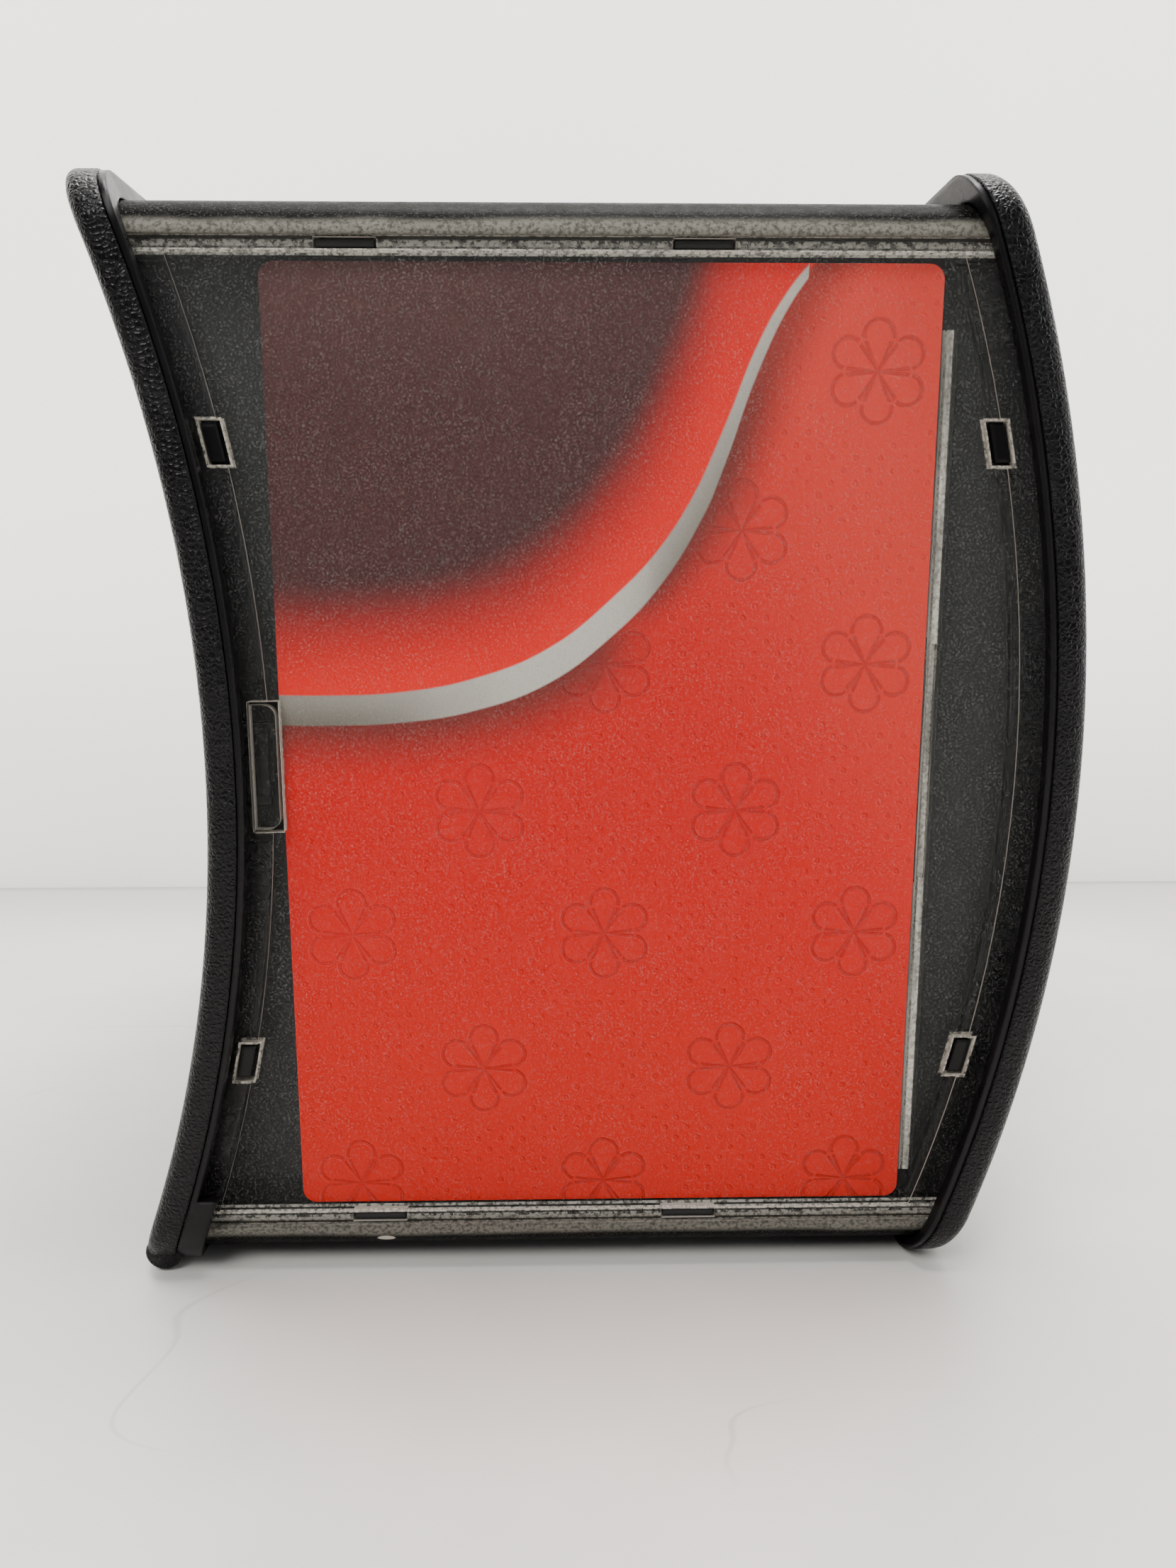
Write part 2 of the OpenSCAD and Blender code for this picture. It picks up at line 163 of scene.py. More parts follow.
class Mat:
    def __init__(self, name):
        self.m = bpy.data.materials.new(name)
        self.m.use_nodes = True
        self.nt = self.m.node_tree
        self.nt.nodes.clear()
        self.out = self.nt.nodes.new("ShaderNodeOutputMaterial")
        self.p = self.nt.nodes.new("ShaderNodeBsdfPrincipled")
        self.nt.links.new(self.p.outputs[0], self.out.inputs["Surface"])
        tc = self.nt.nodes.new("ShaderNodeTexCoord")
        self.vec = tc.outputs["Object"]
        sep = self.nt.nodes.new("ShaderNodeSeparateXYZ")
        self.nt.links.new(self.vec, sep.inputs[0])
        self.x, self.y, self.z = (E(self.nt, o) for o in sep.outputs)

    def new(self, kind, **inputs):
        n = self.nt.nodes.new(kind)
        for k, v in inputs.items():
            k = k.replace("_", " ")
            self.put(n.inputs[k], v)
        return n

    def put(self, socket, v):
        if isinstance(v, E):
            self.nt.links.new(v.s, socket)
        elif isinstance(v, bpy.types.NodeSocket):
            self.nt.links.new(v, socket)
        else:
            socket.default_value = v

    def set(self, **inputs):
        for k, v in inputs.items():
            self.put(self.p.inputs[k.replace("_", " ")], v)
        return self

    def noise(self, scale, detail=4.0, rough=0.55, dist=0.0, vec=None):
        n = self.new("ShaderNodeTexNoise", Scale=scale, Detail=detail, Roughness=rough, Distortion=dist)
        self.nt.links.new(vec or self.vec, n.inputs["Vector"])
        return E(self.nt, n.outputs["Fac"])

    def voronoi(self, scale, feature="F1", rand=1.0, vec=None):
        n = self.new("ShaderNodeTexVoronoi", Scale=scale, Randomness=rand)
        n.feature = feature
        self.nt.links.new(vec or self.vec, n.inputs["Vector"])
        return E(self.nt, n.outputs["Distance"])

    def warp(self, scale, amount):
        """Object coordinates pushed about by a noise, so that cells turn into bent wrinkles."""
        n = self.new("ShaderNodeTexNoise", Scale=scale, Detail=2.0)
        self.nt.links.new(self.vec, n.inputs["Vector"])
        sub = self.nt.nodes.new("ShaderNodeVectorMath")
        sub.operation = "MULTIPLY_ADD"
        self.nt.links.new(n.outputs["Color"], sub.inputs[0])
        sub.inputs[1].default_value = (amount,) * 3
        self.nt.links.new(self.vec, sub.inputs[2])
        return sub.outputs[0]

    def stretch(self, sx, sy, sz):
        n = self.nt.nodes.new("ShaderNodeMapping")
        n.inputs["Scale"].default_value = (sx, sy, sz)
        self.nt.links.new(self.vec, n.inputs["Vector"])
        return n.outputs[0]

    def bump(self, height, strength=0.5, distance=0.0002, normal=None):
        n = self.new("ShaderNodeBump", Strength=strength, Distance=distance)
        self.put(n.inputs["Height"], height)
        if normal is not None:
            self.put(n.inputs["Normal"], normal)
        return n.outputs[0]

    def bevel(self, radius, samples=6):
        n = self.new("ShaderNodeBevel", Radius=radius)
        n.samples = samples
        return n.outputs[0]

    def mix(self, fac, a, b, mode="MIX"):
        n = self.nt.nodes.new("ShaderNodeMix")
        n.data_type, n.blend_type = "RGBA", mode
        self.put(n.inputs[0], fac)
        for i, v in ((6, a), (7, b)):
            self.put(n.inputs[i], v if not isinstance(v, tuple) else (*v[:3], 1.0))
        return n.outputs[2]

    def normal_axis(self):
        g = self.nt.nodes.new("ShaderNodeNewGeometry")
        s = self.nt.nodes.new("ShaderNodeSeparateXYZ")
        self.nt.links.new(g.outputs["True Normal"], s.inputs[0])
        return [E(self.nt, o) for o in s.outputs]


def lin(r, g, b):
    return tuple(((c / 255) / 12.92 if c / 255 <= 0.04045 else ((c / 255 + 0.055) / 1.055) ** 2.4) for c in (r, g, b))


# ---------------------------------------------------------------- materials
def mat_grained():
    """Black moulded plastic with a leather-like wrinkle grain and a soft sheen."""
    m = Mat("black_grained")
    warped = m.warp(520, 0.0011)
    cells = m.voronoi(1150, "DISTANCE_TO_EDGE", vec=warped)
    fine = m.voronoi(2400, "F1", vec=warped)
    pebble = cells.ramp(0.0, 0.30) * 0.9 + fine.ramp(0.1, 0.7, 1.0, 0.0) * 0.22 + m.noise(1000, 4) * 0.35
    n = m.bump(pebble, 0.45, 0.00024, m.bevel(0.0005, 3))
    rough = m.noise(300, 3).ramp(0.35, 0.7, 0.20, 0.32) + cells.ramp(0.0, 0.12, 0.25, 0.0)
    base = m.mix(m.noise(60, 3).ramp(0.3, 0.7), (0.0035, 0.0035, 0.0042), (0.006, 0.006, 0.0066))
    m.set(Base_Color=base, Roughness=rough, Normal=n)
    m.p.inputs["Specular IOR Level"].default_value = 0.17
    return m.m


def mat_black(name="black_plastic", rough=(0.22, 0.38), base=(0.0045, 0.0045, 0.005)):
    """Smooth black plastic with faint flow marks and light scuffs."""
    m = Mat(name)
    r = m.noise(90, 5, 0.6).ramp(0.3, 0.7, *rough)
    scuff = m.noise(240, 6, 0.7, vec=m.stretch(1, 1, 7)).ramp(0.62, 0.75, 0.0, 0.12)
    n = m.bump(m.noise(1800, 3), 0.12, 0.00008, m.bevel(0.0009, 4))
    m.set(Base_Color=m.mix(scuff, base, (0.018, 0.018, 0.018)), Roughness=r + scuff, Normal=n)
    m.p.inputs["Specular IOR Level"].default_value = 0.17
    return m.m


def painted_glints(m):
    """Fine bright specks of painted glint, light caught by a moulded grain, from 0 to 1."""
    return m.noise(2900, 1, 0.5).ramp(0.54, 0.70) * m.noise(160, 2).ramp(0.3, 0.7, 0.7, 1.0)


def mat_panel(windows, tab):
    """Clear side panel with a fine grain: see-through, with painted glint specks, painted highlights on its cut edges
    and moulded border, and a line of painted shade at the border.
    """
    m = Mat("panel_clear")
    ax = m.normal_axis()
    g = painted_glints(m)
    up = m.z.ramp(0.005, 0.175)
    t = (m.z - MID).abs() * 1000.0                      # mm from the body's middle height
    gr = m.noise(1500, 3, 0.6)
    # thin film of haze; its lightening towards the top is painted light from above
    col = m.mix(up, (0.045, 0.045, 0.042), (0.120, 0.124, 0.124))
    # bright glint specks on the grain: painted highlights
    col = m.mix(g * 0.9, col, (0.30, 0.30, 0.28))
    alpha = g * 0.16 + up * 0.04 + 0.05

    def band(a, b, c, d):
        return t.ramp(a, b) * t.ramp(c, d, 1.0, 0.0)

    def paint(mask, colour, strength, col, alpha):
        return m.mix(mask * strength, col, colour), alpha.mx(mask * strength)

    # bands along the border by height: painted highlights on the step line, the grey border band and the rim by the
    # cover's edge, with a dark line of painted shade in the gap next to the cover
    step = band(79.45, 79.7, 80.05, 80.3)
    mid = band(80.2, 80.6, 81.2, 81.7)
    dark = band(81.45, 81.6, 81.9, 82.05)
    rim = band(81.95, 82.3, 83.6, 84.6)
    speck = gr.ramp(0.34, 0.62)
    far = m.y.abs().ramp(0.0, 0.01)
    col, alpha = paint(step, (0.60, 0.585, 0.52), far * speck.ramp(0.0, 1.0, 0.45, 0.95), col, alpha)
    col, alpha = paint(mid, (0.30, 0.295, 0.26), speck.ramp(0.0, 1.0, 0.25, 0.9), col, alpha)
    col, alpha = paint(dark, (0.008, 0.008, 0.008), far * 0.9, col, alpha)
    col, alpha = paint(rim, (0.80, 0.76, 0.64), speck.ramp(0.0, 1.0, 0.45, 1.0), col, alpha)
    # painted highlights on the cut edges of the windows and the press tab
    cut = None
    for x, z, hw, hh, lean in windows + [tab]:
        dx = (m.x - x - (m.z - z) * lean).abs() * 1000.0 - hw
        dz = (m.z - z).abs() * 1000.0 - hh
        d = dx.mx(dz)
        ring = d.ramp(-0.15, 0.05) * d.ramp(0.30, 0.55, 1.0, 0.0)
        if not lean:
            ring = ring * m.x.ramp(x - hw * mm, x - hw * mm + 0.0003)
        cut = ring if cut is None else cut.mx(ring)
    col, alpha = paint(cut, (0.50, 0.46, 0.39), speck.ramp(0.0, 1.0, 0.45, 0.95), col, alpha)
    # faces turned away from the panel's sides get a painted highlight
    e = ax[1].abs().ramp(0.35, 0.8, 1.0, 0.0)
    col, alpha = paint(e, (0.50, 0.46, 0.40), far * 0.8, col, alpha)
    n = m.bump(gr, 0.25, 0.00006)
    m.set(Base_Color=col, Alpha=alpha, Roughness=m.noise(500, 3).ramp(0.3, 0.7, 0.26, 0.38), Normal=n)
    m.p.inputs["Specular IOR Level"].default_value = 0.30
    return m.m


def mat_cover():
    """Smoked cover: dark and grained, with painted glint specks and a painted highlight band where its curved edge
    meets the panel.
    """
    m = Mat("cover_smoke")
    g = painted_glints(m)
    gr = m.noise(1500, 3, 0.6)
    t = (m.z - MID).abs() * 1000.0
    side = m.y.abs().ramp(0.0655, 0.0700)
    wide = m.noise(38, 3, 0.5, vec=m.stretch(1, 0.2, 0.2)).ramp(0.35, 0.65)
    col = m.mix(gr.ramp(0.35, 0.7), (0.0022, 0.0023, 0.0022), (0.0075, 0.0075, 0.007))
    # bright glint specks on the grain: painted highlights
    col = m.mix(g * 0.75, col, (0.050, 0.049, 0.045))
    # band of painted highlight where the curved edge catches the light above the panel
    painted_edge_highlight = (t + gr * 1.2 + wide * 0.5).ramp(84.3, 85.7, 1.0, 0.0) * side
    col = m.mix(painted_edge_highlight * gr.ramp(0.35, 0.6, 0.30, 0.75), col, (0.26, 0.25, 0.215))
    # whitish oval spot low on the right-hand side
    ex, ez = (m.x + 0.0366) * 600.0, (m.z - (P0[2] - 0.0014)) * 1500.0
    mark = (ex * ex + ez * ez).ramp(0.6, 1.1, 1.0, 0.0) * m.y.ramp(-0.02, 0.0, 1.0, 0.0)
    col = m.mix(mark * 0.85, col, (0.72, 0.69, 0.60))
    alpha = 0.975
    n = m.bump(g * 0.9 + gr * 0.6, 0.45, 0.00012, m.bevel(0.0009, 3))
    m.set(Base_Color=col, Alpha=alpha, Roughness=m.noise(500, 3).ramp(0.3, 0.7, 0.30, 0.42), Normal=n)
    m.p.inputs["Specular IOR Level"].default_value = 0.02
    return m.m


def mat_face():
    """Smoked face plates with the same fine grain, painted glint specks and a painted highlight on their edge faces.
    """
    m = Mat("face_smoke")
    ax = m.normal_axis()
    g = painted_glints(m)
    e = ax[0].abs().ramp(0.35, 0.8, 1.0, 0.0)
    # bright glint specks on the grain: painted highlights
    col = m.mix(g * 0.7, (0.020, 0.021, 0.020), (0.22, 0.22, 0.20))
    # faces turned away from the plate's front get a painted highlight
    col = m.mix(e * 0.8, col, (0.26, 0.25, 0.22))
    m.set(Base_Color=col, Alpha=(g * 0.25 + 0.42).mx(e * 0.85), Roughness=m.noise(500, 3).ramp(0.3, 0.7, 0.22, 0.34),
          Normal=m.bump(g * 0.9 + m.noise(1500, 3) * 0.5, 0.4, 0.00012, m.bevel(0.0006, 3)))
    return m.m


# centre line of the band on the card, as (across, up) shares of the card, with its half width in mm
BAND = [(0.0, 0.560, 2.5), (0.09, 0.5595, 2.5), (0.178, 0.562, 2.5), (0.298, 0.5752, 2.55), (0.42, 0.607, 2.5), (0.515, 0.6560, 2.3),
        (0.585, 0.7050, 1.9), (0.645, 0.7690, 1.5), (0.684, 0.8300, 1.15), (0.727, 0.9080, 0.9), (0.770, 0.9650, 0.7), (0.81, 1.0, 0.5)]


def mat_card(box, mirror):
    """Printed card: red ground, dark maroon corner, a plain silver band and pressed dots and petals."""
    m = Mat("card_print_left" if mirror else "card_print_right")
    (x0, _, z0), (x1, _, z1) = box
    w, h = (x1 - x0) * 1000, (z1 - z0) * 1000
    u = (m.x - x0) / (x1 - x0)
    if mirror:
        u = 1.0 - u
    v = (m.z - z0) / (z1 - z0)
    uu = u.op("MINIMUM", 1.0).mx(0.0)
    zc = uu.curve([(a, b) for a, b, _ in BAND])
    hw = uu.curve([(a, c / 4) for a, _, c in BAND]) * 4.0
    slope = []
    for i in range(len(BAND)):
        a, b = BAND[max(0, i - 1)], BAND[min(len(BAND) - 1, i + 1)]
        s = (b[1] - a[1]) * h / ((b[0] - a[0]) * w)
        slope.append((BAND[i][0], 1 / math.sqrt(1 + s * s)))
    cosv = uu.curve(slope)
    past = uu.ramp(0.80, 0.83, 0.0, 60.0, smooth=False)
    d = (v - zc) * h * cosv - past                      # mm above the band's centre line
    # ground colours
    n1 = m.noise(18, 3)
    red_lo, red_mid, red_hi = (0.72, 0.014, 0.004), (0.72, 0.003, 0.0006), (0.90, 0.055, 0.034)
    ground = m.mix(v.ramp(0.05, 0.45), red_lo, red_mid)
    ground = m.mix((u * 0.7 + v * 0.6).ramp(0.75, 1.25), ground, red_hi)
    ground = m.mix((n1 - 0.5).abs() * 0.25, ground, (0.45, 0.02, 0.012))
    # shade under the band, deepest at the left and along the rising part
    sh = d.ramp(-13.0, -1.0) * u.ramp(0.48, 0.60, 1.0, 0.0)
    ub = v.op("MAXIMUM", 0.0).mn(1.0).curve([(b, a) for a, b, _ in [(0.0, 0.0, 0), (0.20, 0.54, 0)] + BAND[3:]])
    dx = (u - ub) * w
    sh = sh.mx(dx.ramp(-0.5, 0.5) * dx.ramp(0.8, 11.0, 1.0, 0.0) * v.ramp(0.61, 0.68) * v.ramp(0.80, 1.0, 1.0, 0.7))
    ground = m.mix(sh * 0.95, ground, (0.15, 0.026, 0.020))
    # above the band: bright red that falls off into dark maroon
    bright = (0.98, 0.010, 0.002)
    maroon = (0.070, 0.020, 0.020)
    fall = (d + (m.noise(30, 2) - 0.5) * 3.0).ramp(2.0, 22.5)
    up = m.mix(fall, bright, maroon)
    up = m.mix(v.ramp(0.84, 1.0) * u.ramp(0.2, 0.8, 0.6, 0.1), up, (0.105, 0.042, 0.040))
    col = m.mix(d.ramp(-0.2, 0.2, smooth=False), ground, up)
    # band: silver with a lengthwise sheen, darker where it rises
    sheen = (d / hw).ramp(-1.0, 1.0)
    silver = m.mix((uu * 1.0).curve([(0.0, 0.02), (0.12, 0.10), (0.28, 0.55), (0.45, 0.86), (0.56, 0.62), (0.62, 0.22), (0.72, 0.55), (0.86, 0.75), (1.0, 0.6)]),
                   (0.16, 0.145, 0.115), (0.74, 0.71, 0.64))
    silver = m.mix(sheen * 0.22, silver, (0.80, 0.77, 0.70))
    on = (d.abs() - hw).ramp(-0.15, 0.15, 1.0, 0.0, smooth=False) * uu.ramp(0.815, 0.83, 1.0, 0.0)
    col = m.mix(on, col, silver)
    # pressed pattern under the band: petals on a staggered lattice, dots between
    def cell(ou, ov):
        cu = ((u - ou) / 0.405).op("WRAP", 0.5, -0.5) * (0.405 * w)
        cv = ((v - ov) / 0.292).op("WRAP", 0.5, -0.5) * (0.292 * h)
        return cu, cv
    lines = None
    rmin = None
    for ou, ov in ((0.0975, 0.0225), (0.305, 0.159)):
        cu, cv = cell(ou, ov)
        r = (cu * cu + cv * cv).op("SQRT")
        th = cv.op("ARCTAN2", cu)
        fold = (th + math.pi / 6).op("WRAP", math.pi / 6, -math.pi / 6)
        px, py = r * fold.op("COSINE"), r * fold.op("SINE")
        tip = (((px - 5.5) * (px - 5.5) + py * py).op("SQRT") - 2.4).abs()
        tip = tip + px.ramp(4.6, 5.0, 9.0, 0.0, smooth=False)
        flank = (py.abs() - (px * 0.42 + 0.15)).abs() + px.ramp(4.6, 5.0, 0.0, 9.0, smooth=False)
        line = tip.mn(flank).ramp(0.10, 0.50, 1.0, 0.0)
        lines = line if lines is None else lines.mx(line)
        rmin = r if rmin is None else rmin.mn(r)
    pitch = 3.9
    du = (u * (w / pitch)).op("WRAP", 0.5, -0.5) * pitch
    dv = (v * (h / pitch)).op("WRAP", 0.5, -0.5) * pitch
    du2 = (u * (w / pitch) + 0.5).op("WRAP", 0.5, -0.5) * pitch
    dv2 = (v * (h / pitch) + 0.5).op("WRAP", 0.5, -0.5) * pitch
    dd = (du * du + dv * dv).mn(du2 * du2 + dv2 * dv2).op("SQRT")
    dots = dd.ramp(0.30, 0.70, 1.0, 0.0) * rmin.ramp(10.6, 11.2) * m.noise(220, 1).ramp(0.44, 0.52)
    below = d.ramp(-5.0, -1.5, 1.0, 0.0)
    fade = (u * 1.1 - v * 0.55).ramp(-0.15, 0.5, 0.55, 1.0)
    emb = (lines.mx(dots * 0.34)) * below * fade
    col = m.mix(emb * 0.38, col, (0.28, 0.010, 0.006))
    fibre = m.noise(1400, 4, 0.65)
    grainy = m.mix(fibre.ramp(0.45, 0.75, 0.0, 0.05), col, (0.8, 0.35, 0.28))
    height = emb * -1.0 + fibre * 0.12
    m.set(Base_Color=grainy, Roughness=m.noise(220, 3).ramp(0.3, 0.7, 0.5, 0.6), Normal=m.bump(height, 0.7, 0.00025))
    m.p.inputs["Specular IOR Level"].default_value = 0.1
    return m.m


def mat_clear_strip(box):
    """Clear plastic strip: two long edges bright with painted highlights, with a darker, see-through web between
    them.
    """
    m = Mat("clear_strip")
    x0, x1 = box[0][0], box[1][0]
    s = (m.x - x0) / (x1 - x0)
    gr = m.noise(1500, 3, 0.6).ramp(0.34, 0.62)
    wave = m.noise(420, 2, vec=m.stretch(1, 1, 0.10)).ramp(0.35, 0.65, 0.55, 1.0)
    # the two bright edges and the thin line at one side are painted highlights
    bright = s.ramp(0.22, 0.34) * s.ramp(0.66, 0.80, 1.0, 0.0)
    thin = s.ramp(0.00, 0.05) * s.ramp(0.12, 0.20, 1.0, 0.0)
    a = (bright * gr.ramp(0.0, 1.0, 0.70, 1.0)).mx(thin * 0.6) * wave
    m.set(Base_Color=m.mix(a, (0.06, 0.06, 0.05), (0.80, 0.77, 0.68)), Alpha=a.mx(0.14), Roughness=0.25,
          Normal=m.bump(m.noise(900, 3), 0.3, 0.0001))
    m.p.inputs["Specular IOR Level"].default_value = 0.3
    return m.m


def mat_steel(name, base, rough):
    m = Mat(name)
    drawn = m.noise(600, 5, 0.6, vec=m.stretch(1, 14, 14))
    m.set(Base_Color=m.mix(drawn.ramp(0.3, 0.7), tuple(c * 0.8 for c in base), base), Roughness=drawn.ramp(0.3, 0.7, rough - 0.06, rough + 0.08),
          Normal=m.bump(drawn, 0.15, 0.00005))
    m.p.inputs["Metallic"].default_value = 1.0
    return m.m


def mat_rubber():
    m = Mat("foot_rubber")
    dust = m.noise(130, 5, 0.6).ramp(0.5, 0.7, 0.0, 0.3)
    m.set(Base_Color=m.mix(dust, (0.010, 0.010, 0.010), (0.06, 0.055, 0.05)), Roughness=dust + 0.6,
          Normal=m.bump(m.noise(1500, 4), 0.3, 0.00015, m.bevel(0.0005, 4)))
    return m.m


def use(mat, *names):
    for n in names:
        me = NODES[n].data if n in NODES else n.data
        me.materials.clear()
        me.materials.append(mat)
        for p in me.polygons:
            p.material_index = 0


GRAIN = mat_grained()
BLACK = mat_black()
LINER = mat_black("black_liner", (0.4, 0.55), (0.030, 0.0305, 0.031))
FCX, FR = arc_from("front_bezel", True)
RCX, RR = arc_from("rear_bezel", False)
CUTS = []
for cx, r in ((FCX, FR + 0.00895), (RCX, RR - 0.01055)):
    for zw in (MID - 0.0517, MID + 0.0517):
        reach = math.sqrt(r * r - (zw - ZC) ** 2)
        CUTS.append((cx + reach, zw, 1.62, 3.4, -(zw - ZC) / reach))
PANEL = mat_panel(CUTS, ((TAB0[0] + TAB1[0]) / 2, MID, (TAB1[0] - TAB0[0]) * 500 + 0.2, (TAB1[2] - TAB0[2]) * 500 + 0.2, 0.0))
COVER = mat_cover()
FACE = mat_face()
use(LINER, "magazine", "spring_seat")
use(BLACK, "front_ring", "rear_ring", "latch_right", "latch_left", "pusher", "spring_cup")
use(GRAIN, "front_bezel", "rear_bezel")
use(PANEL, "side_panel_right", "side_panel_left", "release_tab_right", "release_tab_left")
use(COVER, "top_cover", "bottom_cover")
use(FACE, "faceplate", "rear_panel")
use(mat_card(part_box("display_card_right"), False), "display_card_right")
use(mat_card(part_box("display_card_left"), True), "display_card_left")
use(mat_clear_strip(lohi(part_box("card_rail_right"))), "card_rail_right", "card_rail_left")
use(mat_steel("spring_wire", (0.56, 0.55, 0.54), 0.26), "pusher_spring")
use(mat_steel("pin_steel", (0.62, 0.61, 0.60), 0.3), "hinge_pin_right", "hinge_pin_left")
use(mat_rubber(), "rubber_feet")


# ---------------------------------------------------------------- rounded bezels
def loop_point(k, n_arc, n_side, hw, hh, r):
    """Point k of a rounded rectangle in y, z about its middle, with matching numbering for any size."""
    per = n_arc + n_side
    q, i = divmod(k, per)
    sy, sz = ((1, 1), (-1, 1), (-1, -1), (1, -1))[q]
    if i < n_arc:
        a = math.radians(90 * i / (n_arc - 1))
        c, s = math.cos(a), math.sin(a)
        cy, cz = {0: (c, s), 1: (-s, c), 2: (-c, -s), 3: (s, -c)}[q]
        return sy * (hw - r) + r * cy, sz * (hh - r) + r * cz
    t = (i - n_arc + 1) / (n_side + 1)
    q2 = (q + 1) % 4
    sy2, sz2 = ((1, 1), (-1, 1), (-1, -1), (1, -1))[q2]
    e = {0: (0, 1), 1: (-1, 0), 2: (0, -1), 3: (1, 0)}[q]
    p = (sy * (hw - r) + r * e[0], sz * (hh - r) + r * e[1])
    p2 = (sy2 * (hw - r) + r * e[0], sz2 * (hh - r) + r * e[1])
    return p[0] + (p2[0] - p[0]) * t, p[1] + (p2[1] - p[1]) * t


def bezel(name, front):
    cx, rad = (FCX, FR) if front else (RCX, RR)
    n_arc, n_side = 15, 60
    count = 4 * (n_arc + n_side)
    in_w, in_h, in_r = 64.0, FH * 500 - 12.35, 8.0
    out_w, out_h, out_r = W * 500, FH * 500, 10.0
    lip_w, lip_h, lip_r = (W * 500 - 1.2), (FH * 500 - 1.2), 8.8

    prof = []                                            # (kind, share or inset, depth), outline to opening and back
    rr = 2.6
    prof.append(("o", 0.35, 5.3))
    for a in range(0, 91, 30):
        t = math.radians(a)
        prof.append(("o", 0.35 - 0.35 * math.sin(t), 4.95 + 0.35 * math.cos(t)))
    for a in range(0, 91, 10):
        t = math.radians(a)
        prof.append(("o", rr - rr * math.cos(t), rr - rr * math.sin(t)))
    for s in (0.12, 0.3, 0.5, 0.7, 0.85):
        prof.append(("m", s, 0.0))
    for a in range(0, 91, 15):
        t = math.radians(a)
        prof.append(("i", 1.2 - 1.2 * math.sin(t), 1.2 - 1.2 * math.cos(t)))
    prof.append(("i", 0.0, 2.38))
    prof.append(("l", 0.4, 2.38))
    prof.append(("l", 0.0, 2.9))
    prof.append(("l", 0.0, 5.3))
    verts, faces = [], []
    for k in range(count):
        oy, oz = loop_point(k, n_arc, n_side, out_w, out_h, out_r)
        iy, iz = loop_point(k, n_arc, n_side, in_w, in_h, in_r)
        ly, lz = loop_point(k, n_arc, n_side, lip_w, lip_h, lip_r)
        span = math.hypot(oy - iy, oz - iz)
        dy, dz = (iy - oy) / span, (iz - oz) / span
        # inward direction square to the outline, so the round keeps its radius
        a, b = loop_point((k + 1) % count, n_arc, n_side, out_w, out_h, out_r), loop_point((k - 1) % count, n_arc, n_side, out_w, out_h, out_r)
        ty, tz = a[0] - b[0], a[1] - b[1]
        tl = math.hypot(ty, tz)
        ny, nz = -tz / tl, ty / tl
        for kind, s, t in prof:
            if kind == "o":
                y, z = oy + ny * s, oz + nz * s
            elif kind == "m":
                y0, z0 = oy + ny * rr, oz + nz * rr
                y1, z1 = iy - dy * 1.2, iz - dz * 1.2
                y, z = y0 + (y1 - y0) * s, z0 + (z1 - z0) * s
            elif kind == "i":
                y, z = iy - dy * s, iz - dz * s
            else:
                y, z = ly + ny * s, lz + nz * s
            verts.append((t, y, z))
    m = len(prof)
    for k in range(count):
        k2 = (k + 1) % count
        for j in range(m):
            j2 = (j + 1) % m
            faces.append((k * m + j, k2 * m + j, k2 * m + j2, k * m + j2))
    out = []
    for t, y, z in verts:
        zz = z * mm
        if front:
            zz = max(zz, HZ - ZC)
            x = cx + math.sqrt((rad + t * mm) ** 2 - zz * zz)
        else:
            x = cx + math.sqrt((rad - t * mm) ** 2 - zz * zz)
        out.append((x, y * mm, ZC + zz))
    me = bpy.data.meshes.new(name)
    me.from_pydata(out, [], faces)
    bm = bmesh.new()
    bm.from_mesh(me)
    if front:
        # barrel between and outside the two ears
        for a, b in ((-74.2, -50.3), (-41.7, 41.7), (50.3, 74.2)):
            seg = 28
            ring = []
            for y, r in ((a, 2.85), (a + 0.35, 3.19), (b - 0.35, 3.19), (b, 2.85)):
                ring.append([bm.verts.new((HX + r * mm * math.cos(2 * math.pi * i / seg), y * mm, HZ + r * mm * math.sin(2 * math.pi * i / seg))) for i in range(seg)])
            for p, q in zip(ring, ring[1:]):
                for i in range(seg):
                    bm.faces.new((p[i], p[(i + 1) % seg], q[(i + 1) % seg], q[i]))
            bm.faces.new(ring[0][::-1])
            bm.faces.new(ring[-1])
    bmesh.ops.recalc_face_normals(bm, faces=bm.faces)
    for f in bm.faces:
        f.smooth = True
    for e in bm.edges:
        if len(e.link_faces) == 2 and e.calc_face_angle(0) > math.radians(50):
            e.smooth = False
    bm.to_mesh(me)
    bm.free()
    ob = bpy.data.objects.new(name, me)
    bpy.context.collection.objects.link(ob)
    me.materials.append(GRAIN)
    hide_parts("front_bezel" if front else "rear_bezel")
    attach(ob, "door" if front else "shell")
    return ob


bezel("front_bezel_skin", True)
bezel("rear_bezel_skin", False)

# ---------------------------------------------------------------- spring: a smooth-shaded copy of the CAD coil, carried by the shell
def spring():
    src = NODES["pusher_spring"]
    me = src.data.copy()
    me.name = "pusher_spring_coil"
    ob = bpy.data.objects.new("pusher_spring_coil", me)
    bpy.context.collection.objects.link(ob)
    for p in me.polygons:
        p.use_smooth = True
    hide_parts("pusher_spring")
    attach(ob, "shell")
    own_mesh(ob)


spring()

# ---------------------------------------------------------------- stage
def plane(name, corners, mat):
    me = bpy.data.meshes.new(name)
    me.from_pydata(corners, [], [tuple(range(len(corners)))])
    ob = bpy.data.objects.new(name, me)
    bpy.context.collection.objects.link(ob)
    me.materials.append(mat)
    return ob


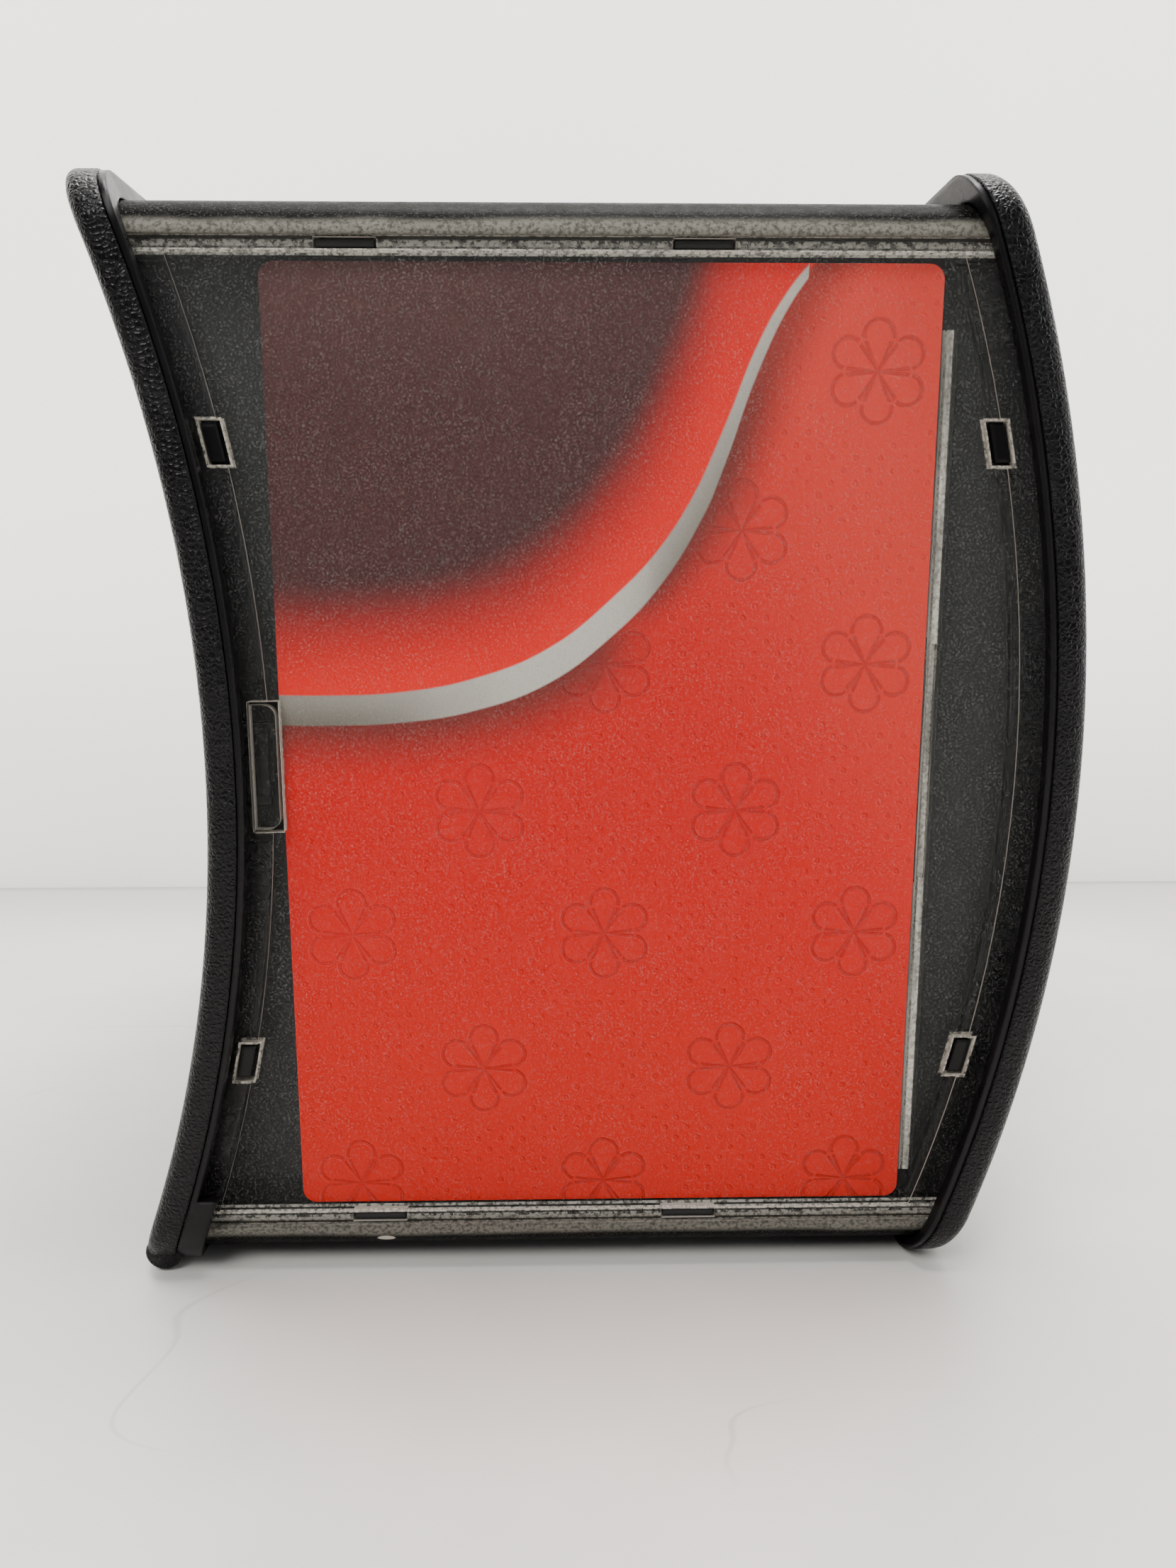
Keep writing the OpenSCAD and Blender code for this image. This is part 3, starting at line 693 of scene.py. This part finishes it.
def mat_floor():
    m = Mat("pale_floor")
    cloud = m.noise(7, 5, 0.6)
    specks = m.voronoi(60, "F1").ramp(0.02, 0.05, 1.0, 0.0) * m.noise(14, 3).ramp(0.55, 0.65)
    base = m.mix(cloud.ramp(0.3, 0.7), (0.60, 0.585, 0.56), (0.68, 0.665, 0.635))
    # painted shade: the floor darker towards the wall
    base = m.mix(m.y.ramp(0.10, 0.176) * 0.45, base, (0.40, 0.385, 0.36))
    # painted shade: a thin darker line where the floor meets the wall
    base = m.mix(m.y.ramp(0.170, 0.1755) * 0.45, base, (0.20, 0.19, 0.175))
    line = m.noise(3.2, 2, dist=0.6, vec=m.stretch(1, 3, 1))
    base = m.mix((line - 0.5).abs().ramp(0.0, 0.0016, 0.55, 0.0) * m.noise(9, 2).ramp(0.5, 0.62), base, (0.34, 0.32, 0.30))
    m.set(Base_Color=m.mix(specks * 0.35, base, (0.35, 0.34, 0.33)), Roughness=m.noise(40, 4).ramp(0.3, 0.7, 0.32, 0.46),
          Normal=m.bump(m.noise(260, 4), 0.08, 0.0002))
    return m.m


def mat_wall():
    m = Mat("pale_wall")
    base = m.mix(m.noise(5, 4).ramp(0.3, 0.7), (0.74, 0.74, 0.725), (0.80, 0.80, 0.785))
    m.set(Base_Color=base, Roughness=0.7, Normal=m.bump(m.noise(120, 4), 0.1, 0.0005))
    # the wall glows with painted light, dimmer towards the floor as painted shade
    m.set(Emission_Color=m.mix((m.z + (m.noise(3, 2) - 0.5) * 0.1).ramp(-0.02, 0.16), (0.42, 0.40, 0.36), (1.0, 0.985, 0.94)))
    m.p.inputs["Emission Strength"].default_value = 1.6
    g = m.nt.nodes.new("ShaderNodeNewGeometry")
    tr = m.nt.nodes.new("ShaderNodeBsdfTransparent")
    mx = m.nt.nodes.new("ShaderNodeMixShader")
    m.nt.links.new(g.outputs["Backfacing"], mx.inputs[0])
    m.nt.links.new(m.p.outputs[0], mx.inputs[1])
    m.nt.links.new(tr.outputs[0], mx.inputs[2])
    m.nt.links.new(mx.outputs[0], m.out.inputs["Surface"])
    return m.m


plane("floor", [(-3, -3, 0), (3, -3, 0), (3, 3, 0), (-3, 3, 0)], mat_floor())
plane("wall", [(-2.2, 0.176, -0.01), (2.2, 0.176, -0.01), (2.2, 0.176, 1.6), (-2.2, 0.176, 1.6)], mat_wall())

world = bpy.data.worlds.new("studio")
bpy.context.scene.world = world
world.use_nodes = True
wn = world.node_tree
bg = wn.nodes["Background"]
bg.inputs[0].default_value = (0.93, 0.95, 1.0, 1.0)
bg.inputs[1].default_value = 0.11


def area(name, loc, to, size, power, color=(1, 1, 1), sy=None):
    d = bpy.data.lights.new(name, "AREA")
    d.energy, d.color, d.shape, d.size = power, color, "RECTANGLE", size
    d.size_y = sy or size
    o = bpy.data.objects.new(name, d)
    o.location = loc
    o.rotation_euler = (Vector(to) - Vector(loc)).to_track_quat("-Z", "Y").to_euler()
    bpy.context.collection.objects.link(o)
    return o


area("key", (-0.45, -0.75, 1.05), (0, 0, 0.09), 0.6, 12.5, (1.0, 0.985, 0.96))
area("strip", (0.95, -0.36, 0.42), (-0.05, -0.07, 0.1), 0.25, 4.5, (0.98, 0.99, 1.0), 0.9)
area("top", (0.05, 0.10, 1.0), (0, 0.0, 0.0), 0.5, 25.0, (1.0, 0.985, 0.955))

# ---------------------------------------------------------------- camera
right, down, fwd = Vector((0.9998, -0.02016, -0.0004)), Vector((-0.00422, -0.19, -0.98178)), Vector((0.01971, 0.98158, -0.19004))
cam = bpy.data.cameras.new("photo_camera")
cam.sensor_fit = "AUTO"
cam.sensor_width = 36
cam.lens = 1680 * 36 / 2212
cam.clip_start = 0.01
cam.clip_end = 50
co = bpy.data.objects.new("photo_camera", cam)
bpy.context.collection.objects.link(co)
CAM_AT = Vector((-0.00453, -0.2668, 0.12517))
co.matrix_world = Matrix(((right.x, -down.x, -fwd.x, CAM_AT.x), (right.y, -down.y, -fwd.y, CAM_AT.y), (right.z, -down.z, -fwd.z, CAM_AT.z), (0, 0, 0, 1)))
bpy.context.scene.camera = co
